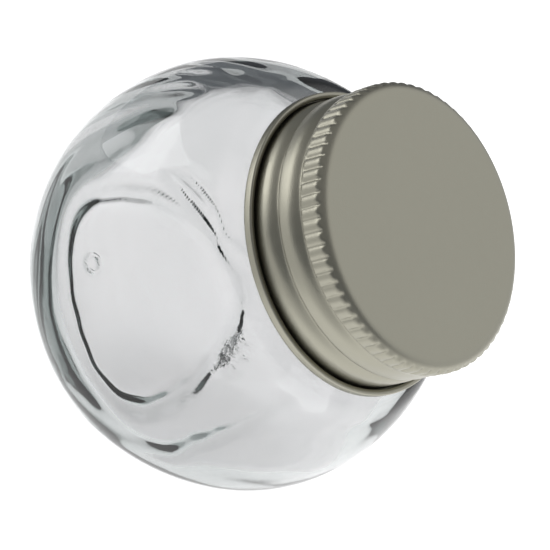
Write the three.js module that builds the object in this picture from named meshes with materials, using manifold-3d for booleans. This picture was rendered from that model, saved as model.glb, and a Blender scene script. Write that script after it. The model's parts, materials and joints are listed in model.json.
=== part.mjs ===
// Small round glass jar with flat sides and a slanted screw-capped neck.
//
// Frame: millimetres, +Z up. The origin is the centre of the flat base that the jar stands on.
// The glass body is a thick rounded disc whose own axis is Y, so its two flat sides face -Y and +Y.
// The neck leaves the body at 45 degrees, between +X and +Z. An aluminium continuous-thread cap
// is screwed onto it and presses a soft sealing disc onto the glass rim.
//
// Along the neck, "s" is the distance from the body's centre and "psi" is the angle about the neck
// axis, right-handed about the outward direction and zero on the side of the neck that faces up and back.

import * as THREE from 'three';
import { mergeVertices } from 'three/addons/utils/BufferGeometryUtils.js';
import Module from 'manifold-3d';

// ---------------------------------------------------------------- driving dimensions (mm, degrees)
const BODY_R = 32.3;            // radius of the rounded disc
const BODY_HALF = 23.4;         // half thickness, at the flat sides
const FLAT_R = 15.8;            // radius of each flat side
const RIM_POWER = 1.95;         // superellipse power of the rounded edge (2 is an ellipse)
const CENTRE_Z = 28.0;          // height of the body's centre above its base
const WALL = 3.0;               // glass thickness of the body
const FLOOR = 3.8;              // glass thickness at the base
const NECK_TILT = 45;           // neck axis from vertical, towards +X

const SHOULDER_S = 22.0;        // flat shoulder under the cap's hem
const SHOULDER_WALL = 2.9;
const NECK_R = 19.35;           // outside of the neck, at the root of its thread
const BORE_R = 16.6;            // mouth of the jar
const RIM_S = 35.0;             // sealing rim
const PITCH = 25.4 / 6;         // 6 threads per inch, right-handed

const GLASS_THREAD_CREST = 20.2;
const GLASS_THREAD_HALF = [1.0, 0.5];   // half width at its root and at its crest
const GLASS_THREAD_PSI = [-39, 369];
const GROOVE_S_AT_80 = 27.9;    // centre of the cap's rolled groove at psi = 80

const CAP_TOP_S = 36.8;
const CAP_WALL = 0.42;          // sheet thickness
const CAP_R = 20.98;            // outside of the skirt
const CAP_FACE_R = 19.1;        // flat top
const KNURL_CREST = 21.12;
const KNURL_ROOT = 20.8;
const KNURL_COUNT = 70;
const KNURL_S = [33.1, 35.55];
const CAP_GROOVE_FLOOR = 20.2;  // outside radius at the bottom of the rolled groove
const CAP_GROOVE_HALF = [0.42, 1.05];   // half width at its floor and at the skirt
const CAP_GROOVE_PSI = [-40, 520];
const HEM_S = 23.5;             // centre of the outward curl along the cap's open edge
const HEM_R = 21.55;
const HEM_BEAD = 0.78;

const LINER_R = 19.9;
const LINER_S = [35.28, 36.1];

const BODY_SEGMENTS = 60;
const CAP_SEGMENTS = 72;

// ---------------------------------------------------------------- helpers
const wasm = await Module();
wasm.setup();

const rad = (d) => (d * Math.PI) / 180;

// Neck axis "A", the direction "U" of psi = 0 and "N" of psi = 90, and the body's centre.
const A = new THREE.Vector3(Math.sin(rad(NECK_TILT)), 0, Math.cos(rad(NECK_TILT)));
const U = new THREE.Vector3(-Math.cos(rad(NECK_TILT)), 0, Math.sin(rad(NECK_TILT)));
const N = new THREE.Vector3().crossVectors(A, U);
const C = new THREE.Vector3(0, 0, CENTRE_Z);

// Local neck frame: x along U, y along A (the lathe's axis), z along U x A = -N.
const neckFrame = new THREE.Matrix4()
  .makeBasis(U, A, N.clone().negate())
  .setPosition(C);

function solid(geometry, matrix = null) {
  const g = geometry.index ? geometry.clone() : geometry.clone();
  g.deleteAttribute('normal');
  g.deleteAttribute('uv');
  if (matrix) g.applyMatrix4(matrix);
  const m = mergeVertices(g, 1e-5);
  // triangles that collapse on the axis of a lathe are dropped
  const src = m.index.array;
  const tri = [];
  for (let i = 0; i < src.length; i += 3) {
    const [a, b, c] = [src[i], src[i + 1], src[i + 2]];
    if (a !== b && b !== c && a !== c) tri.push(a, b, c);
  }
  const mesh = new wasm.Mesh({
    numProp: 3,
    vertProperties: new Float32Array(m.attributes.position.array),
    triVerts: new Uint32Array(tri),
  });
  mesh.merge();
  const s = new wasm.Manifold(mesh);
  if (s.volume() < 0) throw new Error('inside-out solid');
  return s;
}

function geometryOf(manifold) {
  const mesh = manifold.getMesh();
  const g = new THREE.BufferGeometry();
  const np = mesh.numProp;
  const src = mesh.vertProperties;
  const pos = new Float32Array((src.length / np) * 3);
  for (let i = 0; i < src.length / np; i++) {
    pos[3 * i] = src[np * i];
    pos[3 * i + 1] = src[np * i + 1];
    pos[3 * i + 2] = src[np * i + 2];
  }
  g.setAttribute('position', new THREE.BufferAttribute(pos, 3));
  g.setIndex(new THREE.BufferAttribute(new Uint32Array(mesh.triVerts), 1));
  g.computeVertexNormals();
  return g;
}

// A lathe whose profile runs upwards along the axis on its outer side gives outward faces.
function lathe(points, segments, matrix) {
  const profile = points.map(([r, y]) => new THREE.Vector2(r, y));
  return solid(new THREE.LatheGeometry(profile, segments), matrix);
}

// Profile of the rounded disc about its own axis: flat side, rounded edge, flat side.
function discProfile(flatR, half, radius, power, steps) {
  const p = [[0, -half]];
  const quarter = [];
  for (let i = 0; i <= steps; i++) {
    const t = (i / steps) * (Math.PI / 2);
    const r = flatR + (radius - flatR) * Math.pow(Math.sin(t), 2 / power);
    const y = half * Math.pow(Math.max(Math.cos(t), 0), 2 / power);
    quarter.push([r, i === steps ? 0 : y]);
  }
  for (const [r, y] of quarter) p.push([r, -y]);
  for (let i = quarter.length - 2; i >= 0; i--) p.push(quarter[i]);
  p.push([0, half]);
  return p;
}

// A block that fills s < limit (side -1) or s > limit (side +1) along the neck.
function alongNeck(limit, side) {
  const size = 140;
  return solid(
    new THREE.BoxGeometry(size, size, size),
    neckFrame.clone().multiply(new THREE.Matrix4().makeTranslation(0, limit + (side * size) / 2, 0)),
  );
}

// A helical bar: a box bent round the neck axis, with its own width at its inner and outer radius,
// and its depth run out to nothing at both ends.
function helixBar({ psi, sAt, inner, outer, halfInner, halfOuter, fromOutside, runout, steps }) {
  const g = new THREE.BoxGeometry(1, 1, 1, steps, 1, 1);
  const p = g.attributes.position;
  for (let i = 0; i < p.count; i++) {
    const along = p.getX(i) + 0.5;
    const deg = psi[0] + (psi[1] - psi[0]) * along;
    const end = Math.min(deg - psi[0], psi[1] - deg);
    const k = 0.04 + 0.96 * Math.min(1, end / runout);
    const isOuter = p.getZ(i) > 0;
    let r = isOuter ? outer : inner;
    let half = isOuter ? halfOuter : halfInner;
    if (fromOutside && !isOuter) r = outer + (inner - outer) * k;
    if (!fromOutside && isOuter) r = inner + (outer - inner) * k;
    const s = sAt(deg) + half * Math.sign(p.getY(i));
    const a = rad(deg);
    // local neck frame: z runs along -N, so psi turns towards -z
    p.setXYZ(i, r * Math.cos(a), s, -r * Math.sin(a));
  }
  const m = g.clone();
  m.deleteAttribute('normal');
  m.deleteAttribute('uv');
  const test = mergeVertices(m, 1e-5);
  // flip the faces if the bend turned the box inside out
  const pos = test.attributes.position;
  const idx = test.index;
  let vol = 0;
  const a = new THREE.Vector3(), b = new THREE.Vector3(), c = new THREE.Vector3();
  for (let i = 0; i < idx.count; i += 3) {
    a.fromBufferAttribute(pos, idx.getX(i));
    b.fromBufferAttribute(pos, idx.getX(i + 1));
    c.fromBufferAttribute(pos, idx.getX(i + 2));
    vol += a.dot(b.cross(c)) / 6;
  }
  if (vol < 0) {
    for (let i = 0; i < idx.count; i += 3) {
      const t = idx.getX(i + 1);
      idx.setX(i + 1, idx.getX(i + 2));
      idx.setX(i + 2, t);
    }
  }
  return solid(test, neckFrame);
}

// ---------------------------------------------------------------- glass jar
const bodyTurn = new THREE.Matrix4().makeTranslation(0, 0, CENTRE_Z);

function bodySolid(flatR, half, radius, power, steps, segments) {
  return lathe(discProfile(flatR, half, radius, power, steps), segments, bodyTurn);
}

const below = (z) => solid(
  new THREE.BoxGeometry(140, 140, 140),
  new THREE.Matrix4().makeTranslation(0, 0, z - 70),
);

// Outside: the disc, standing on a flat cut, with the flat shoulder and the neck.
let outside = bodySolid(FLAT_R, BODY_HALF, BODY_R, RIM_POWER, 10, BODY_SEGMENTS)
  .subtract(below(0))
  .subtract(alongNeck(SHOULDER_S, 1));

const neck = lathe([
  [0, 6], [NECK_R, 6], [NECK_R, RIM_S - 0.9], [NECK_R - 0.25, RIM_S - 0.3],
  [NECK_R - 0.8, RIM_S], [0, RIM_S],
], CAP_SEGMENTS, neckFrame);

const glassThreadS = (deg) => GROOVE_S_AT_80 + PITCH / 2 + (PITCH * (deg - 80)) / 360;
const glassThread = helixBar({
  psi: GLASS_THREAD_PSI, sAt: glassThreadS,
  inner: NECK_R - 0.8, outer: GLASS_THREAD_CREST,
  halfInner: GLASS_THREAD_HALF[0], halfOuter: GLASS_THREAD_HALF[1],
  fromOutside: false, runout: 28, steps: 68,
});
outside = outside.add(neck).add(glassThread);

// Inside: the hollow body, open through the bore.
const hollow = bodySolid(FLAT_R - 1.0, BODY_HALF - WALL, BODY_R - WALL, 2.0, 8, 44)
  .subtract(below(FLOOR))
  .subtract(alongNeck(SHOULDER_S - SHOULDER_WALL, 1));
const bore = lathe([
  [0, 4], [BORE_R, 4], [BORE_R, RIM_S - 0.5], [BORE_R + 0.5, RIM_S + 0.01],
  [BORE_R + 0.5, RIM_S + 3], [0, RIM_S + 3],
], 60, neckFrame);
const jar = outside.subtract(hollow.add(bore));

// ---------------------------------------------------------------- screw cap
const bead = [];
for (let d = -90; d <= 120; d += 30) {
  bead.push([HEM_R + HEM_BEAD * Math.cos(rad(d)), HEM_S + HEM_BEAD * Math.sin(rad(d))]);
}
const cornerDrop = 1.35;
const corner = [];
for (const d of [0, 22, 45, 67, 90]) {
  corner.push([
    CAP_FACE_R + (CAP_R - CAP_FACE_R) * Math.cos(rad(d)),
    CAP_TOP_S - cornerDrop + cornerDrop * Math.sin(rad(d)),
  ]);
}
const capOutside = lathe([
  [0, HEM_S - HEM_BEAD],
  ...bead,
  [CAP_R + 0.03, HEM_S + 0.34],
  [CAP_R, HEM_S + 0.9],
  ...corner,
  [0, CAP_TOP_S],
], CAP_SEGMENTS, neckFrame);

// Knurled band: a ring with straight ribs along the axis.
const knurlOutline = new THREE.Shape();
const perRib = 2;
for (let i = 0; i < KNURL_COUNT * perRib; i++) {
  const phase = i % perRib;
  const r = phase === 1 ? KNURL_CREST : KNURL_ROOT;
  const a = (i / (KNURL_COUNT * perRib)) * 2 * Math.PI;
  const [x, y] = [r * Math.cos(a), r * Math.sin(a)];
  if (i === 0) knurlOutline.moveTo(x, y); else knurlOutline.lineTo(x, y);
}
knurlOutline.closePath();
const knurl = solid(
  new THREE.ExtrudeGeometry(knurlOutline, { depth: KNURL_S[1] - KNURL_S[0], bevelEnabled: false }),
  neckFrame.clone()
    .multiply(new THREE.Matrix4().makeTranslation(0, KNURL_S[0], 0))
    .multiply(new THREE.Matrix4().makeRotationX(-Math.PI / 2)),
);

// The rolled thread: a helical groove outside, and the ridge that it raises inside.
const grooveS = (deg) => GROOVE_S_AT_80 + (PITCH * (deg - 80)) / 360;
const grooveOutside = helixBar({
  psi: CAP_GROOVE_PSI, sAt: grooveS,
  inner: CAP_GROOVE_FLOOR, outer: CAP_R + 0.5,
  halfInner: CAP_GROOVE_HALF[0], halfOuter: CAP_GROOVE_HALF[1] + 0.35,
  fromOutside: true, runout: 40, steps: 84,
});
const ridgeInside = helixBar({
  psi: [CAP_GROOVE_PSI[0] - 4, CAP_GROOVE_PSI[1] + 4], sAt: grooveS,
  inner: CAP_GROOVE_FLOOR - CAP_WALL, outer: CAP_R + 0.5,
  halfInner: CAP_GROOVE_HALF[0] + 0.22, halfOuter: CAP_GROOVE_HALF[1] + 0.7,
  fromOutside: true, runout: 40, steps: 84,
});
const capInside = lathe([
  [0, HEM_S - 3], [CAP_R - CAP_WALL, HEM_S - 3],
  [CAP_R - CAP_WALL, CAP_TOP_S - cornerDrop],
  [CAP_FACE_R + 0.95, CAP_TOP_S - CAP_WALL - 0.25],
  [CAP_FACE_R + 0.2, CAP_TOP_S - CAP_WALL],
  [0, CAP_TOP_S - CAP_WALL],
], CAP_SEGMENTS, neckFrame);
const skirtBand = lathe([
  [0, HEM_S + 0.9], [CAP_R - CAP_WALL + 0.2, HEM_S + 0.9],
  [CAP_R - CAP_WALL + 0.2, KNURL_S[1]], [0, KNURL_S[1]],
], CAP_SEGMENTS, neckFrame);

const cap = capOutside
  .add(knurl)
  .subtract(grooveOutside)
  .subtract(capInside.subtract(ridgeInside.intersect(skirtBand)));

// ---------------------------------------------------------------- sealing disc
const liner = lathe([
  [0, LINER_S[0]], [LINER_R - 0.18, LINER_S[0]], [LINER_R, LINER_S[0] + 0.18],
  [LINER_R, LINER_S[1] - 0.18], [LINER_R - 0.18, LINER_S[1]], [0, LINER_S[1]],
], 60, neckFrame);

// ---------------------------------------------------------------- scene graph
function piece(name, manifold, material) {
  const mesh = new THREE.Mesh(geometryOf(manifold), material);
  mesh.name = name;
  return mesh;
}

const root = new THREE.Group();
root.name = 'slanted_glass_jar';

root.add(piece('jar_body', jar, new THREE.MeshStandardMaterial({
  color: new THREE.Color(0.86, 0.89, 0.89), roughness: 0.03, metalness: 0.0,
  transparent: true, opacity: 0.35,
})));

const capAssembly = new THREE.Group();
capAssembly.name = 'closure';
capAssembly.add(piece('cap_liner', liner, new THREE.MeshStandardMaterial({
  color: new THREE.Color(0.92, 0.91, 0.88), roughness: 0.75, metalness: 0.0,
})));
capAssembly.add(piece('screw_cap', cap, new THREE.MeshStandardMaterial({
  color: new THREE.Color(0.60, 0.59, 0.54), roughness: 0.45, metalness: 1.0,
})));
root.add(capAssembly);

export default root;
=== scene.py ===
# Slanted glass jar with an aluminium screw cap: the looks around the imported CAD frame.
import bpy, json, math
import numpy as np
from mathutils import Matrix, Vector

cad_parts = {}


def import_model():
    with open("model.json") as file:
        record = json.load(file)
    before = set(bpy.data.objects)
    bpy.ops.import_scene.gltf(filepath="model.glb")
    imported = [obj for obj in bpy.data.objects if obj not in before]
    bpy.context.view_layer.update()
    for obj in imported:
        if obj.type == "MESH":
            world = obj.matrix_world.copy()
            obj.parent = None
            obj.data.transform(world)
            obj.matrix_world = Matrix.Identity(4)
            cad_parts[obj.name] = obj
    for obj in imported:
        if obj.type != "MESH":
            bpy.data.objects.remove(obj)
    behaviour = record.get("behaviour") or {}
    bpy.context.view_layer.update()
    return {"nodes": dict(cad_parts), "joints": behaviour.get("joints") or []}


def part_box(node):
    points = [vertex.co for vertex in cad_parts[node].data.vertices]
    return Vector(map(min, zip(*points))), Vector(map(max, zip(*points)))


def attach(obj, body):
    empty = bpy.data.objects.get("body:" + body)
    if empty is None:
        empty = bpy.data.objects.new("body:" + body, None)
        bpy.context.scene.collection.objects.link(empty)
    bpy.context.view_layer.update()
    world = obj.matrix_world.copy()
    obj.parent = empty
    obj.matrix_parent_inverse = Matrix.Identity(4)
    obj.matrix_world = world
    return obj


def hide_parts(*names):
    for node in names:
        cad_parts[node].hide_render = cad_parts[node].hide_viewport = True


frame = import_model()


# ------------------------------------------------------------------ the frame's own facts (metres)
turn = [j for j in frame["joints"] if j["name"] == "cap_unscrew"][0]
CENTRE = np.array(turn["pos_m"], float)                 # centre of the body, on the neck axis
A = np.array(turn["axis"], float); A /= np.linalg.norm(A)  # neck axis, outward
U = np.array([-A[2], 0.0, A[0]])                        # psi = 0 about the neck axis
N = np.cross(A, U)                                      # psi = 90
lo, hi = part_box("jar_body")
BODY_R = -lo.x                                          # radius of the rounded disc
BODY_HALF = hi.y                                        # half thickness at its flat sides
MM = 0.001
PITCH = 25.4 / 6 * MM
caplo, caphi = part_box("screw_cap")


def along(node):
    """Lowest and highest distance from the body's centre along the neck axis, of a node's points."""
    co = np.array([v.co for v in frame["nodes"][node].data.vertices], float) - CENTRE
    s = co @ A
    return s.min(), s.max()


CAP_BOTTOM, CAP_TOP = along("screw_cap")
LINER_BOTTOM, LINER_TOP = along("cap_liner")

# ------------------------------------------------------------------ camera
# The view: the neck axis leans 47.9 degrees from the line of sight, a long lens, and a rolled frame.
tau, phi = math.radians(47.88), math.radians(14.5)
a_cam = np.array([math.sin(tau) * math.cos(phi), math.sin(tau) * math.sin(phi), math.cos(tau)])
u_cam = np.cross([0, 0, 1.0], a_cam); u_cam /= np.linalg.norm(u_cam)
n_cam = np.cross(a_cam, u_cam)
to_cam = np.outer(a_cam, A) + np.outer(u_cam, U) + np.outer(n_cam, N)   # frame to camera axes
x_cam, y_cam, z_cam = to_cam
FOCAL = 3500.0                                          # focal length in picture units of 1/550 of the width
UNIT = 0.14825 * MM                                     # one such unit at the body's centre
BODY_AT = (-36.4, 0.9)                                  # where the body's centre sits, right and up of the middle
eye = CENTRE - UNIT * (BODY_AT[0] * x_cam + BODY_AT[1] * y_cam) + UNIT * FOCAL * z_cam
cam_data = bpy.data.cameras.new("view")
cam_data.sensor_width = 36.0
cam_data.lens = FOCAL / 550.0 * 36.0
cam_data.clip_start = 0.01
cam_data.clip_end = 20.0
cam = bpy.data.objects.new("view", cam_data)
bpy.context.scene.collection.objects.link(cam)
cam.matrix_world = Matrix((
    (x_cam[0], y_cam[0], z_cam[0], eye[0]),
    (x_cam[1], y_cam[1], z_cam[1], eye[1]),
    (x_cam[2], y_cam[2], z_cam[2], eye[2]),
    (0, 0, 0, 1)))
bpy.context.scene.camera = cam


# ------------------------------------------------------------------ small helpers
def smax(a, b, k):
    h = np.maximum(k - np.abs(a - b), 0.0) / k
    return np.maximum(a, b) + h * h * k * 0.25


def smoothstep(x, a, b):
    t = np.clip((x - a) / (b - a), 0, 1)
    return t * t * (3 - 2 * t)


def resample(points, count):
    """A polyline (n, 2) resampled to count points, evenly along its length."""
    p = np.array(points, float)
    d = np.concatenate([[0], np.cumsum(np.linalg.norm(np.diff(p, axis=0), axis=1))])
    t = np.linspace(0, d[-1], count)
    return np.stack([np.interp(t, d, p[:, 0]), np.interp(t, d, p[:, 1])], 1)


def around(s, r, psi):
    """Points in the shared frame from distance along the neck, radius and angle about it."""
    return (CENTRE + np.multiply.outer(s, A)
            + (r * np.cos(psi))[..., None] * U + (r * np.sin(psi))[..., None] * N)


def grid_mesh(name, rings, pole_start, pole_end, smooth=True):
    """A closed skin of rings (rows, columns, 3), closed round the columns, with a point at each end."""
    rows, cols, _ = rings.shape
    verts = np.concatenate([np.array([pole_start]), rings.reshape(-1, 3), np.array([pole_end])])
    faces = []
    j = np.arange(cols); jn = (j + 1) % cols
    first = 1
    last = 1 + (rows - 1) * cols
    end = len(verts) - 1
    tri0 = np.stack([np.zeros(cols, int), first + jn, first + j], 1)
    tri1 = np.stack([np.full(cols, end), last + j, last + jn], 1)
    i = np.arange(rows - 1)
    a = 1 + i[:, None] * cols + j[None, :]
    b = 1 + i[:, None] * cols + jn[None, :]
    quads = np.stack([a, b, b + cols, a + cols], -1).reshape(-1, 4)
    faces = [tuple(map(int, f)) for f in tri0] + [tuple(map(int, f)) for f in quads] + [tuple(map(int, f)) for f in tri1]
    me = bpy.data.meshes.new(name)
    me.from_pydata([tuple(v) for v in verts], [], faces)
    me.validate()
    me.update()
    # faces out
    vol = 0.0
    co = verts
    q = quads
    vol = np.einsum("ij,ij->i", co[q[:, 0]], np.cross(co[q[:, 1]], co[q[:, 2]])).sum() \
        + np.einsum("ij,ij->i", co[q[:, 0]], np.cross(co[q[:, 2]], co[q[:, 3]])).sum()
    if vol < 0:
        me.flip_normals()
    if smooth:
        me.shade_smooth()
    ob = bpy.data.objects.new(name, me)
    bpy.context.scene.collection.objects.link(ob)
    return ob


def hash_noise(p, scale, seed):
    """Smooth, repeatable 3-D noise in -1..1 at points (.., 3): a sum of a few fixed plane waves."""
    rng = np.random.RandomState(seed)
    total = np.zeros(p.shape[:-1])
    for _ in range(14):
        d = rng.normal(size=3); d /= np.linalg.norm(d)
        f = (0.55 + 0.9 * rng.rand()) * 2 * math.pi / scale
        total += np.sin((p @ d) * f + rng.rand() * 2 * math.pi)
    return total / math.sqrt(14 / 2.0) * 0.6


# ------------------------------------------------------------------ glass jar
R, H = BODY_R / MM, BODY_HALF / MM          # mm from here to the end of the jar
P = PITCH / MM
CZ = CENTRE[2] / MM
SHOULDER, RIM = 22.0, 35.0
NECK_R, BORE_R = 19.35, 16.6
GROOVE_AT_80 = 27.9                          # height of the cap's thread groove at psi = 80 degrees


def disc(p, flat, half, radius, power):
    """About the distance outside the rounded disc, in mm, for points relative to its centre."""
    rho = np.hypot(p[..., 0], p[..., 2])
    u = np.maximum(rho - flat, 0) / (radius - flat)
    v = np.abs(p[..., 1]) / half
    f = (u ** power + v ** power) ** (1 / power) - 1
    return f * (half * v ** 2 + (radius - flat) * u ** 2) / np.maximum(u ** 2 + v ** 2, 1e-9)


def mould_ring(p):
    """A small plain ring pressed into the near flat, in mm deep."""
    q = np.hypot(p[..., 0] + 8.7, p[..., 2] - 0.7)
    return np.where(p[..., 1] < 0, 0.50 * np.exp(-((q - 1.30) / 0.34) ** 2), 0.0)


def outer_field(p):
    d = disc(p, 15.4, H, R, 1.88) + mould_ring(p)
    d = smax(d, -(p[..., 2] + CZ), 4.0)                    # the base, with a rounded heel
    s = p @ A
    return smax(d, s - SHOULDER, 2.2)                      # the shoulder under the cap


# The moulded edge of the flat on the near side, as degrees round the flat's centre: its radius there, and how
# far the glass swells into the hollow along it, in mm. It is never quite round, as blown glass is not.
EDGE = np.array([
    (-179, 15.8, 0.52), (-168, 14.9, 0.50), (-151, 14.3, 0.46), (-133, 14.0, 0.48), (-114, 14.5, 0.54), (-99, 15.4, 0.46),
    (-89, 15.8, 0.56), (-79, 16.4, 0.84), (-66, 16.3, 1.20), (-54, 15.4, 1.32), (-36, 14.6, 1.22), (-19, 14.6, 0.94),
    (-3, 14.9, 0.78), (8, 15.6, 0.80), (22, 16.8, 0.86), (35, 17.2, 0.86), (46, 16.7, 0.82), (57, 16.1, 0.78),
    (72, 15.9, 0.76), (91, 15.4, 0.78), (107, 15.2, 0.80), (122, 15.1, 0.84), (137, 15.5, 0.76), (149, 16.4, 0.56), (162, 17.0, 0.50)])
FAR_EDGE = np.array([
    (-170, 15.4, 0.55), (-130, 15.0, 0.50), (-90, 15.3, 0.60), (-45, 15.8, 0.50), (0, 15.2, 0.45), (40, 15.5, 0.55),
    (85, 15.9, 0.50), (130, 15.1, 0.60)])
# A thin fold that runs outside that edge on the near side, up towards the neck, and two lazy folds below it.
FOLDS = [
    (-1, np.array([(60, 17.0, 0.0), (64, 16.9, 0.4), (74, 16.9, 0.5), (87, 17.0, 0.5), (99, 17.8, 0.5), (105, 18.6, 0.0)]), 0.42),
    (-1, np.array([(18, 22.2, 0.0), (25, 21.4, 0.5), (38, 20.0, 0.62), (51, 18.6, 0.62), (63, 17.8, 0.62), (73, 18.7, 0.62), (87, 18.9, 0.62), (98, 19.1, 0.5), (105, 18.8, 0.0)]), 0.46),
    (-1, np.array([(-112, 23.4, 0.0), (-95, 22.9, 0.4), (-76, 22.3, 0.5), (-59, 22.2, 0.6), (-43, 21.0, 0.6), (-30, 21.3, 0.5), (-17, 22.6, 0.45), (-6, 24.2, 0.3), (4, 25.4, 0.0)]), 1.1),
    (1, np.array([(-110, 26.2, 0.0), (-100, 27.0, 0.4), (-86, 27.4, 0.55), (-73, 26.2, 0.55), (-60, 26.6, 0.5), (-48, 27.4, 0.0)]), 1.0),
]


def smooth_table(table, closed=True):
    """Radius and height every degree, eased so that the line runs without corners."""
    if closed:
        d = np.concatenate([table[:, 0] - 360, table[:, 0], table[:, 0] + 360])
        r, h = np.tile(table[:, 1], 3), np.tile(table[:, 2], 3)
    else:
        d, r, h = table.T
    x = np.arange(-360.0, 361.0, 1.0)
    k = np.exp(-(np.arange(-16, 17) / (6.0 if closed else 2.5)) ** 2); k /= k.sum()
    rr = np.convolve(np.pad(np.interp(x, d, r), 16, "edge"), k, "valid")
    hh = np.convolve(np.pad(np.interp(x, d, h, left=0 if not closed else None, right=0 if not closed else None), 16, "edge"), k, "valid")
    return x, rr, hh


def ring_profile(deg, eased):
    return np.interp(deg, eased[0], eased[1]), np.interp(deg, eased[0], eased[2])


EDGE_EASED, FAR_EASED = smooth_table(EDGE), smooth_table(FAR_EDGE)
FOLDS_EASED = [(side, smooth_table(table, False), width) for side, table, width in FOLDS]


def swell(p):
    """How far the glass stands into the hollow, in mm, along the moulded edges and the folds."""
    rho = np.hypot(p[..., 0], p[..., 2])
    deg = np.degrees(np.arctan2(p[..., 2], p[..., 0]))
    near = smoothstep(-p[..., 1], 6.0, 12.0)
    far = smoothstep(p[..., 1], 6.0, 12.0)
    r0, h = ring_profile(deg, EDGE_EASED)
    r0 = r0 + 0.05 * np.sin(np.radians(deg) * 17 + 1)
    wide = 1.05 + 0.40 * smoothstep(deg, -86, -66) * (1 - smoothstep(deg, -30, -14))
    out = near * h * np.exp(-((rho - r0) / wide) ** 2)
    r0, h = ring_profile(deg, FAR_EASED)
    out = out + far * h * np.exp(-((rho - r0) / 1.15) ** 2)
    for side, table, width in FOLDS_EASED:
        r0, h = ring_profile(deg, table)
        out = out + (near if side < 0 else far) * h * np.exp(-((rho - r0) / width) ** 2)
    # the upper and right-hand runs of the edge are pitted, as glass is where it last left the mould
    upper = smoothstep(deg, 88, 100) * (1 - smoothstep(deg, 146, 158)) * np.exp(-((rho - 15.6) / 1.0) ** 2)
    right = smoothstep(deg, -6, 6) * (1 - smoothstep(deg, 30, 42)) * np.exp(-((rho - 17.3) / 1.5) ** 2)
    out = out + near * (0.006 * upper + 0.06 * right) * hash_noise(p, 1.6, 21)
    return out


def inner_field(p):
    rho = np.hypot(p[..., 0], p[..., 2])
    rim_zone = smoothstep(rho, 17.0, 24.0)
    lean = smoothstep(p @ U, -6.0, 14.0)                    # the upper shoulder beside the neck is the most uneven
    wob = (0.11 + (0.10 + 0.20 * lean) * rim_zone) * hash_noise(p, 18.0, 5) + 0.025 * hash_noise(p, 7.0, 8)
    # long shallow ripples that follow the rim round, as the glass drew down the mould
    turned = np.arctan2(-p[..., 2], -p[..., 0])             # 0 on the side away from the neck, and down is positive
    where = rim_zone * smoothstep(turned, -1.3, -0.7) * (1 - smoothstep(turned, 1.35, 1.9))
    wob = wob + 0.75 * where + 0.085 * where * np.sin(2 * math.pi * (p[..., 1] / 3.7) + 1.9 * np.sin(1.7 * turned + 0.6) + 0.8 * np.sin(5 * turned))
    d = disc(p, 14.2, H - 3.1, R - 2.9, 1.80) + wob + swell(p)
    d = smax(d, -(p[..., 2] + CZ - 3.3), 4.0)
    s = p @ A
    return smax(d, s - (SHOULDER - 2.6), 3.0)


def cast(field, directions, far=60.0):
    a = np.full(directions.shape[:-1], 2.0); b = np.full(directions.shape[:-1], far)
    for _ in range(30):
        m = 0.5 * (a + b)
        out = field(directions * m[..., None]) > 0
        b = np.where(out, m, b); a = np.where(out, a, m)
    return directions * (0.5 * (a + b))[..., None]


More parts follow.
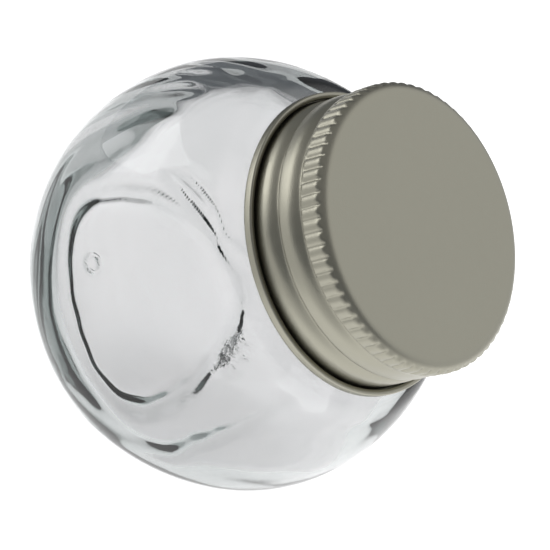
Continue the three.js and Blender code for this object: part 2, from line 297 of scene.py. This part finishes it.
def jar():
    psi = np.linspace(0, 2 * math.pi, 414, endpoint=False)
    fine = np.radians(np.arange(66.5, 79.6, 0.42))                    # finer columns across the moulded ring
    psi = np.sort(np.concatenate([psi[(psi < fine[0] - 0.004) | (psi > fine[-1] + 0.004)], fine]))
    cols = len(psi)
    side = np.cos(psi)[:, None] * U + np.sin(psi)[:, None] * N

    def dirs(theta):
        return np.cos(theta)[:, None, None] * A + np.sin(theta)[:, None, None] * side[None]

    # outside: from the far pole up to the foot of the neck
    foot_r = NECK_R + 1.3
    theta_foot = math.atan2(foot_r, SHOULDER)
    theta = np.linspace(math.pi, theta_foot, 104)[1:]
    extra = np.radians(np.arange(100.0, 113.0, 0.55))                 # finer rows across the moulded ring
    theta = np.sort(np.concatenate([theta[(theta < extra[0] - 0.004) | (theta > extra[-1] + 0.004)], extra]))[::-1]
    body = cast(outer_field, dirs(theta))
    # neck: fillet from the shoulder, the wall with its thread, the rounded rim, the bore
    last = body[-1]
    s_last, r_last = last @ A, np.linalg.norm(last - (last @ A)[:, None] * A, axis=1)
    rows = [body]
    foot = []
    for t in np.linspace(0, 1, 7)[1:]:
        ang = t * math.pi / 2
        s = s_last + 1.1 * (1 - math.cos(ang))
        r = r_last + (NECK_R - r_last) * math.sin(ang)
        foot.append(s[:, None] * A + r[:, None] * side)
    rows.append(np.array(foot))
    s_wall = np.linspace(SHOULDER + 1.35, RIM - 0.95, 50)
    wall = []
    for s in s_wall:
        r = NECK_R + thread(psi, np.full(cols, s))
        wall.append(np.full(cols, s)[:, None] * A + r[:, None] * side)
    rows.append(np.array(wall))
    rim = []
    rr = 0.9
    for d in (20, 40, 60, 80, 90):
        rim.append((NECK_R - rr + rr * math.cos(math.radians(d)), RIM - rr + rr * math.sin(math.radians(d))))
    for d in (90, 75, 55, 35, 15, 0):
        rim.append((BORE_R + rr - rr * math.cos(math.radians(d)), RIM - rr + rr * math.sin(math.radians(d))))
    for s in np.linspace(RIM - rr, SHOULDER + 2.2, 12)[1:]:
        rim.append((BORE_R, s))
    rows.append(np.array([np.full(cols, s)[:, None] * A + np.full(cols, r)[:, None] * side for r, s in rim]))
    # inside: the bore widens into the hollow body
    theta_in = np.linspace(math.atan2(BORE_R + 0.9, SHOULDER - 2.0), math.pi, 230)[:-1]
    inside = cast(inner_field, dirs(theta_in))
    first = inside[0]
    s1, r1 = first @ A, np.linalg.norm(first - (first @ A)[:, None] * A, axis=1)
    blend = []
    s0, r0 = SHOULDER + 2.2, BORE_R
    for t in np.linspace(0, 1, 9)[1:-1]:
        s = (1 - t) ** 2 * s0 + 2 * t * (1 - t) * (s1 + 0.8) + t * t * s1
        r = (1 - t) ** 2 * r0 + 2 * t * (1 - t) * r0 + t * t * r1
        blend.append(s[:, None] * A + r[:, None] * side)
    rows.append(np.array(blend))
    rows.append(inside)
    pts = np.concatenate(rows)
    pole_out = cast(outer_field, np.array([[-A]]))[0, 0]
    pole_in = cast(inner_field, np.array([[-A]]))[0, 0]
    c = np.array([0, 0, CZ])
    ob = grid_mesh("glass_jar", (pts + c) * MM, (pole_out + c) * MM, (pole_in + c) * MM)
    return ob


def thread(psi, s):
    """How far the glass thread stands out of the neck's wall."""
    deg = np.degrees(psi)
    out = np.zeros_like(s)
    for turn_no in (-1, 0, 1):
        total = deg + 360 * turn_no
        centre = GROOVE_AT_80 + P / 2 + P * (total - 80) / 360
        ends = smoothstep(total, -39, -10) * (1 - smoothstep(total, 340, 369))
        x = np.abs(s - centre)
        out = np.maximum(out, 0.85 * ends * (1 - smoothstep(x, 0.42, 1.02)))
    return out


# ------------------------------------------------------------------ aluminium cap
CAP_R, SHEET = 20.98, 0.28
KNURLS = 70
TOP = CAP_TOP / MM
FACE_R = 19.1
HEM_S, HEM_C = 23.5, 0.68

_ph = np.array([-0.5, -0.42, -0.33, -0.24, -0.16, -0.09, -0.035, 0.0, 0.03, 0.07, 0.12, 0.18, 0.25, 0.35, 0.5])
_of = np.array([-0.03, -0.08, -0.19, -0.36, -0.55, -0.73, -0.84, -0.86, -0.82, -0.52, -0.18, -0.05, -0.01, 0.0, -0.03])


def groove(psi, s):
    """Radial offset of the skirt, in mm: the rolled thread."""
    deg = np.degrees(psi) % 360
    best = np.zeros(np.broadcast(deg, s).shape)
    weight = np.zeros_like(best)
    base = GROOVE_AT_80 + P * (deg - 80) / 360
    k = np.round((s - base) / P)
    for dk in (-1, 0, 1):
        kk = k + dk
        total = deg + 360 * kk
        env = smoothstep(total, -75, -25) * (1 - smoothstep(total, 470, 530))
        x = (s - (base + P * kk)) / P
        off = np.interp(x, _ph, _of, left=0, right=0) * env * (np.abs(x) <= 0.5)
        best = np.minimum(best, off)
    return best


def knurl(psi, s):
    deg = np.degrees(psi) % 360
    lower = np.maximum(32.75, GROOVE_AT_80 + P + P * (deg - 80) / 360 + 0.62 - P * 360 / 360 * (deg > 200))
    upper = TOP - 0.72
    band = smoothstep(s, lower - 0.12, lower + 0.35) * (1 - smoothstep(s, upper - 0.30, upper + 0.08))
    lobe = np.abs(np.sin(psi * KNURLS / 2)) ** 0.62
    return band, lobe


def cap():
    cols = KNURLS * 8
    psi = np.linspace(0, 2 * math.pi, cols, endpoint=False)
    t = SHEET
    # centreline of the sheet, from the middle of the top to the end of the curl: r and s
    line = []
    for r in (1.2, 3, 5, 7.5, 10, 12.5, 15, 17, 18.3, FACE_R - 0.1):
        line.append((r, TOP - t / 2))
    a_r, a_s = CAP_R - t / 2 - FACE_R, 1.4
    for d in np.linspace(90, 0, 13)[1:]:
        line.append((FACE_R + a_r * math.cos(math.radians(d)), TOP - t / 2 - a_s + a_s * math.sin(math.radians(d))))
    wall_r = CAP_R - t / 2
    for s in np.linspace(TOP - t / 2 - a_s, 32.5, 19)[1:]:
        line.append((wall_r, s))
    for s in np.linspace(32.5, 25.4, 42)[1:]:
        line.append((wall_r, s))
    for s in np.linspace(25.4, HEM_S, 9)[1:]:
        line.append((wall_r, s))
    # the hem: turned outward and rolled back towards the skirt, with an open crease left between them
    def corner(cx, cy, r, a0, a1, n):
        return [(cx + r * math.cos(math.radians(a)), cy + r * math.sin(math.radians(a))) for a in np.linspace(a0, a1, n)]
    hem = [(0.0, -0.10)] + corner(0.40, -0.22, 0.40, 180, 270, 7) + corner(0.87, -0.22, 0.40, 270, 360, 8)
    hem += [(1.27, 0.10), (1.27, 0.38)] + corner(1.09, 0.50, 0.18, 0, 90, 6)
    hem += [(0.92, 0.67), (0.76, 0.62)] + corner(0.80, 0.40, 0.20, 100, 180, 5) + [(0.60, 0.20), (0.60, 0.02)]
    for dr, ds in hem:
        line.append((wall_r + dr, HEM_S + ds))
    line = np.array(line)
    tan = np.gradient(line, axis=0); tan /= np.linalg.norm(tan, axis=1)[:, None]
    nor = np.stack([-tan[:, 1], tan[:, 0]], 1)        # outward on the top and the wall
    if nor[0, 1] < 0:
        nor = -nor

    def skin(sign):
        rings = []
        for (r, s), n in zip(line, nor):
            rr = r + sign * n[0] * t / 2
            ss = s + sign * n[1] * t / 2
            S = np.full(cols, ss)
            off = np.zeros(cols)
            if 24.75 < s < 34.2:
                fade = min(1.0, (s - 24.75) / 0.5) * min(1.0, max(0.0, (34.2 - s) / 0.5))
                off = groove(psi, np.full(cols, s)) * fade
            band, lobe = knurl(psi, np.full(cols, s))
            if s > 32.0 and r > FACE_R:
                keep = 1 - band
                off = off * keep + band * (-0.26 + 0.40 * lobe)
            rings.append(around(S * MM, (rr + off) * MM, psi))
        return rings
    outside = skin(+1)
    inside = skin(-1)[::-1]
    # the outer and inner skins joined end to end, closing the sheet at the curl's edge
    rings = np.array(outside + inside)
    pole_out = CENTRE + A * TOP * MM
    pole_in = CENTRE + A * (TOP - t) * MM
    return grid_mesh("aluminium_cap", rings, pole_out, pole_in)


def liner():
    cols = 144
    psi = np.linspace(0, 2 * math.pi, cols, endpoint=False)
    b, tp = LINER_BOTTOM / MM, LINER_TOP / MM
    r = 19.9
    prof = [(4, b), (9, b), (14, b), (BORE_R - 0.4, b), (BORE_R + 0.1, b + 0.05), (BORE_R + 0.5, b + 0.14), (NECK_R - 0.7, b + 0.14),
            (NECK_R - 0.2, b + 0.05), (NECK_R + 0.1, b), (r - 0.16, b), (r - 0.05, b + 0.05), (r, b + 0.16), (r, tp - 0.16), (r - 0.05, tp - 0.05),
            (r - 0.16, tp), (15, tp), (8, tp)]
    rings = np.array([around(np.full(cols, s) * MM, np.full(cols, q) * MM, psi) for q, s in prof])
    return grid_mesh("sealing_disc", rings, CENTRE + A * b * MM, CENTRE + A * tp * MM)


# ------------------------------------------------------------------ materials
def material(name):
    m = bpy.data.materials.new(name)
    m.use_nodes = True
    nt = m.node_tree
    nt.nodes.clear()
    out = nt.nodes.new("ShaderNodeOutputMaterial")
    b = nt.nodes.new("ShaderNodeBsdfPrincipled")
    nt.links.new(b.outputs["BSDF"], out.inputs["Surface"])
    return m, nt, b, out


def coords(nt):
    tc = nt.nodes.new("ShaderNodeTexCoord")
    return tc.outputs["Object"]


def noise(nt, vec, scale, detail=3.0, rough=0.55):
    n = nt.nodes.new("ShaderNodeTexNoise")
    n.inputs["Scale"].default_value = scale
    n.inputs["Detail"].default_value = detail
    n.inputs["Roughness"].default_value = rough
    nt.links.new(vec, n.inputs["Vector"])
    return n.outputs["Fac"]


def ramp(nt, fac, stops):
    r = nt.nodes.new("ShaderNodeValToRGB")
    e = r.color_ramp.elements
    while len(e) > len(stops):
        e.remove(e[-1])
    while len(e) < len(stops):
        e.new(0.5)
    for el, (pos, col) in zip(e, stops):
        el.position = pos
        el.color = (*col, 1)
    nt.links.new(fac, r.inputs["Fac"])
    return r.outputs["Color"]


def maprange(nt, fac, a, b, c, d):
    m = nt.nodes.new("ShaderNodeMapRange")
    m.inputs["From Min"].default_value = a
    m.inputs["From Max"].default_value = b
    m.inputs["To Min"].default_value = c
    m.inputs["To Max"].default_value = d
    nt.links.new(fac, m.inputs["Value"])
    return m.outputs["Result"]


def bump(nt, height, strength, distance, normal=None):
    b = nt.nodes.new("ShaderNodeBump")
    b.inputs["Strength"].default_value = strength
    b.inputs["Distance"].default_value = distance
    nt.links.new(height, b.inputs["Height"])
    if normal is not None:
        nt.links.new(normal, b.inputs["Normal"])
    return b.outputs["Normal"]


def glass_material():
    m, nt, b, out = material("clear_flint_glass")
    v = coords(nt)
    tint = noise(nt, v, 40.0, 1.0)
    nt.links.new(ramp(nt, tint, [(0.3, (0.962, 0.938, 0.944)), (0.7, (0.970, 0.948, 0.958))]), b.inputs["Base Color"])
    b.inputs["IOR"].default_value = 1.5
    b.inputs["Transmission Weight"].default_value = 1.0
    n1 = noise(nt, v, 70.0, 2.0)
    slow = bump(nt, n1, 0.25, 0.0006)
    # a chilled, mottled spot at the right of the near flat's edge
    shift = nt.nodes.new("ShaderNodeMapping")
    shift.inputs["Location"].default_value = (-0.0178 / 0.0022, 0.0200 / 0.006, -0.0312 / 0.0042)
    shift.inputs["Scale"].default_value = (1 / 0.0022, 1 / 0.006, 1 / 0.0042)
    nt.links.new(v, shift.inputs["Vector"])
    far_off = nt.nodes.new("ShaderNodeVectorMath"); far_off.operation = "LENGTH"
    nt.links.new(shift.outputs["Vector"], far_off.inputs[0])
    spot = maprange(nt, far_off.outputs["Value"], 0.55, 1.15, 1.0, 0.0)
    grain = noise(nt, v, 1500.0, 2.0)
    speck = nt.nodes.new("ShaderNodeMath"); speck.operation = "MULTIPLY"
    nt.links.new(spot, speck.inputs[0]); nt.links.new(grain, speck.inputs[1])
    nt.links.new(bump(nt, speck.outputs[0], 0.9, 0.00036, slow), b.inputs["Normal"])
    nt.links.new(maprange(nt, spot, 0.0, 1.0, 0.0, 0.20), b.inputs["Roughness"])
    ab = nt.nodes.new("ShaderNodeVolumeAbsorption")
    ab.inputs["Color"].default_value = (0.50, 0.547, 0.54, 1)
    ab.inputs["Density"].default_value = 140.0
    nt.links.new(ab.outputs["Volume"], out.inputs["Volume"])
    return m


def aluminium_material():
    m, nt, b, out = material("satin_aluminium")
    v = coords(nt)
    b.inputs["Metallic"].default_value = 1.0
    fine = noise(nt, v, 4200.0, 2.0)
    cloud = noise(nt, v, 520.0, 4.0)
    big = noise(nt, v, 60.0, 2.0)
    mix = nt.nodes.new("ShaderNodeMath"); mix.operation = "ADD"
    nt.links.new(maprange(nt, cloud, 0.3, 0.7, -0.035, 0.035), mix.inputs[0])
    nt.links.new(maprange(nt, big, 0.3, 0.7, 0.485, 0.515), mix.inputs[1])
    col = ramp(nt, mix.outputs[0], [(0.40, (0.330, 0.319, 0.262)), (0.60, (0.358, 0.347, 0.286))])
    nt.links.new(col, b.inputs["Base Color"])
    nt.links.new(maprange(nt, cloud, 0.3, 0.7, 0.34, 0.38), b.inputs["Roughness"])
    nt.links.new(bump(nt, fine, 0.35, 0.00006), b.inputs["Normal"])
    return m


def foam_material():
    m, nt, b, out = material("white_foam")
    v = coords(nt)
    f = noise(nt, v, 1500.0, 4.0)
    col = ramp(nt, f, [(0.35, (0.80, 0.79, 0.75)), (0.65, (0.88, 0.87, 0.84))])
    nt.links.new(col, b.inputs["Base Color"])
    b.inputs["Roughness"].default_value = 0.8
    nt.links.new(bump(nt, f, 0.4, 0.0001), b.inputs["Normal"])
    return m


glass = jar()
glass.data.materials.append(glass_material())
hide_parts("jar_body"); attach(glass, "jar")

lid = cap()
lid.data.materials.append(aluminium_material())
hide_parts("screw_cap"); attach(lid, "cap")

pad = liner()
pad.data.materials.append(foam_material())
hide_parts("cap_liner"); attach(pad, "liner")


# ------------------------------------------------------------------ floor, light and world
# strength of the painted light glowing in the floor's patch
PAINTED_FLOOR_GLOW = 0.98
PANEL = 0.66
LEFT_PANEL = 0.42


def floor_piece():
    me = bpy.data.meshes.new("floor")
    n, size = 24, 3.0
    vs = [((i / n - 0.5) * 2 * size, (j / n - 0.5) * 2 * size, -0.0001) for j in range(n + 1) for i in range(n + 1)]
    fs = [(j * (n + 1) + i, j * (n + 1) + i + 1, (j + 1) * (n + 1) + i + 1, (j + 1) * (n + 1) + i) for j in range(n) for i in range(n)]
    me.from_pydata(vs, [], fs)
    ob = bpy.data.objects.new("floor", me)
    bpy.context.scene.collection.objects.link(ob)
    m, nt, b, out = material("pale_floor")
    v = coords(nt)
    f = noise(nt, v, 300.0, 3.0)
    col = ramp(nt, f, [(0.3, (0.86, 0.86, 0.86)), (0.7, (0.88, 0.88, 0.88))])
    nt.links.new(col, b.inputs["Base Color"])
    b.inputs["Roughness"].default_value = 0.7
    b.inputs["Specular IOR Level"].default_value = 0.2
    # painted light: the surface glows, like a light table, evenly in a soft-edged patch under and behind the object
    # and more dimly outside it, a painted pool of light that lifts the shade on the floor
    def edge(direction, stops):
        dot = nt.nodes.new("ShaderNodeVectorMath"); dot.operation = "DOT_PRODUCT"
        nt.links.new(v, dot.inputs[0])
        dot.inputs[1].default_value = direction
        parts = []
        for a, c in stops:
            g = nt.nodes.new("ShaderNodeMapRange")
            g.interpolation_type = "SMOOTHSTEP"
            g.inputs["From Min"].default_value = min(a, c)
            g.inputs["From Max"].default_value = max(a, c)
            g.inputs["To Min"].default_value = 0.0 if a < c else 1.0
            g.inputs["To Max"].default_value = 1.0 if a < c else 0.0
            nt.links.new(dot.outputs["Value"], g.inputs["Value"])
            parts.append(g.outputs["Result"])
        return parts
    factors = edge((0.674, 0.739, 0), [(-0.064, -0.027), (0.24, 0.12)]) + edge((-0.739, 0.674, 0), [(-0.13, -0.06), (0.30, 0.20)])
    value = None
    for f in factors:
        if value is None:
            value = f
            continue
        m2 = nt.nodes.new("ShaderNodeMath"); m2.operation = "MULTIPLY"
        nt.links.new(value, m2.inputs[0]); nt.links.new(f, m2.inputs[1])
        value = m2.outputs[0]
    # painted light: emission from 0.42 outside the patch up to the full painted glow inside it
    glow = nt.nodes.new("ShaderNodeMapRange")
    glow.inputs["To Min"].default_value = 0.42
    glow.inputs["To Max"].default_value = PAINTED_FLOOR_GLOW
    nt.links.new(value, glow.inputs["Value"])
    b.inputs["Emission Color"].default_value = (1, 1, 1, 1)
    nt.links.new(glow.outputs["Result"], b.inputs["Emission Strength"])
    me.materials.append(m)
    return ob


floor_piece()


def area(name, at, toward, size, radiance, color=(1, 1, 1)):
    d = bpy.data.lights.new(name, "AREA")
    d.shape = "RECTANGLE"
    d.size, d.size_y = size
    d.energy = radiance * size[0] * size[1] * math.pi      # watts for that radiance
    d.color = color
    ob = bpy.data.objects.new(name, d)
    bpy.context.scene.collection.objects.link(ob)
    ob.location = at
    ob.rotation_euler = (Vector(toward) - Vector(at)).to_track_quat("-Z", "Y").to_euler()
    return ob


area("softbox", (-1.05, -0.55, 0.42), (0, 0, 0.04), (0.9, 0.8), 1.75)


def world():
    w = bpy.data.worlds.new("studio")
    bpy.context.scene.world = w
    w.use_nodes = True
    nt = w.node_tree
    nt.nodes.clear()
    out = nt.nodes.new("ShaderNodeOutputWorld")
    bg = nt.nodes.new("ShaderNodeBackground")
    nt.links.new(bg.outputs[0], out.inputs[0])
    tc = nt.nodes.new("ShaderNodeTexCoord")
    sep = nt.nodes.new("ShaderNodeSeparateXYZ")
    nt.links.new(tc.outputs["Generated"], sep.inputs[0])
    height = maprange(nt, sep.outputs["Z"], -0.2, 1.0, 0.0, 1.0)
    col = ramp(nt, height, [(0.0, (0.17, 0.18, 0.195)), (0.30, (0.18, 0.19, 0.205)), (0.60, (0.24, 0.245, 0.25)), (1.0, (0.36, 0.36, 0.36))])
    # a large soft panel behind and to the right, which the cap's face looks into
    dot = nt.nodes.new("ShaderNodeVectorMath"); dot.operation = "DOT_PRODUCT"
    nt.links.new(tc.outputs["Generated"], dot.inputs[0])
    dot.inputs[1].default_value = (0.47, 0.74, 0.47)
    panel = nt.nodes.new("ShaderNodeMapRange")
    panel.interpolation_type = "SMOOTHSTEP"
    for key, value in (("From Min", 0.62), ("From Max", 0.88), ("To Min", 0.0), ("To Max", PANEL)):
        panel.inputs[key].default_value = value
    nt.links.new(dot.outputs["Value"], panel.inputs["Value"])
    # and a fainter one low on the left
    dot2 = nt.nodes.new("ShaderNodeVectorMath"); dot2.operation = "DOT_PRODUCT"
    nt.links.new(tc.outputs["Generated"], dot2.inputs[0])
    dot2.inputs[1].default_value = (-0.90, -0.42, 0.12)
    left = nt.nodes.new("ShaderNodeMapRange")
    left.interpolation_type = "SMOOTHSTEP"
    for key, value in (("From Min", 0.72), ("From Max", 0.94), ("To Min", 0.0), ("To Max", LEFT_PANEL)):
        left.inputs[key].default_value = value
    nt.links.new(dot2.outputs["Value"], left.inputs["Value"])
    both = nt.nodes.new("ShaderNodeMath"); both.operation = "ADD"
    nt.links.new(panel.outputs["Result"], both.inputs[0])
    nt.links.new(left.outputs["Result"], both.inputs[1])
    add = nt.nodes.new("ShaderNodeVectorMath"); add.operation = "ADD"
    nt.links.new(col, add.inputs[0])
    nt.links.new(both.outputs[0], add.inputs[1])
    nt.links.new(add.outputs[0], bg.inputs["Color"])
    bg.inputs["Strength"].default_value = 1.0


world()
scene = bpy.context.scene
scene.view_settings.view_transform = "Standard"
scene.view_settings.look = "None"
scene.cycles.max_bounces = 24
scene.cycles.transmission_bounces = 24
scene.cycles.glossy_bounces = 8
scene.cycles.diffuse_bounces = 4
scene.cycles.transparent_max_bounces = 16
scene.cycles.caustics_refractive = True
scene.cycles.caustics_reflective = True
scene.cycles.blur_glossy = 0.5
